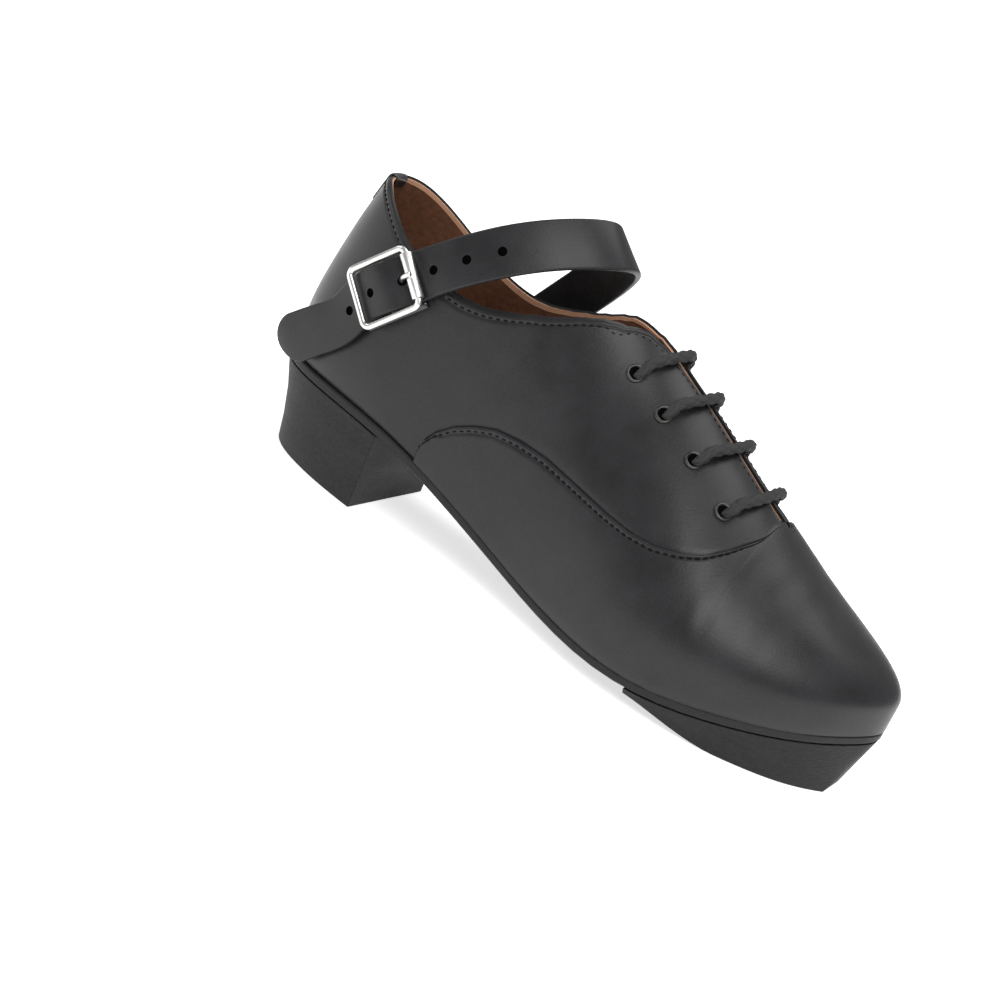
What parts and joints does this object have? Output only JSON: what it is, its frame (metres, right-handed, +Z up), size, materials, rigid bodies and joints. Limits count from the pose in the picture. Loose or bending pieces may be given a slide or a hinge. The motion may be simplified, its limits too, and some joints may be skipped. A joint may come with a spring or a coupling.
{
  "type": "irish dance hard shoe",
  "caption": "Black leather Irish dance hard shoe, right foot, with laced throat, ankle strap and silver buckle, hard heel and toe block.",
  "frame": {"origin": "centre of the heel's ground face, on the floor", "axes": "toe towards -Y, medial side +X, lateral side -X, +Z up from the floor"},
  "size_m": [0.0881, 0.2458, 0.1267],
  "materials": {
    "black_leather": "satin",
    "sole_leather": "matte",
    "hard_block": "matte",
    "tan_lining": "matte",
    "black_braid": "matte",
    "black_metal": "satin",
    "silver": "polished"
  },
  "bodies": {
    "root": {"ankle_strap": "black_leather", "buckle_frame": "silver", "buckle_prong": "silver", "buckle_roller": "silver", "buckle_tab": "black_leather", "eyelet_lateral_1": "black_metal", "eyelet_lateral_2": "black_metal", "eyelet_lateral_3": "black_metal", "eyelet_lateral_4": "black_metal", "eyelet_medial_1": "black_metal", "eyelet_medial_2": "black_metal", "eyelet_medial_3": "black_metal", "eyelet_medial_4": "black_metal", "heel_block": "hard_block", "insole": "tan_lining", "lace_bar_1": "black_braid", "lace_bar_2": "black_braid", "lace_bar_3": "black_braid", "lace_bar_4": "black_braid", "outsole": "sole_leather", "toe_block": "hard_block", "tongue": "black_leather", "upper": "black_leather"}
  },
  "joints": []
}
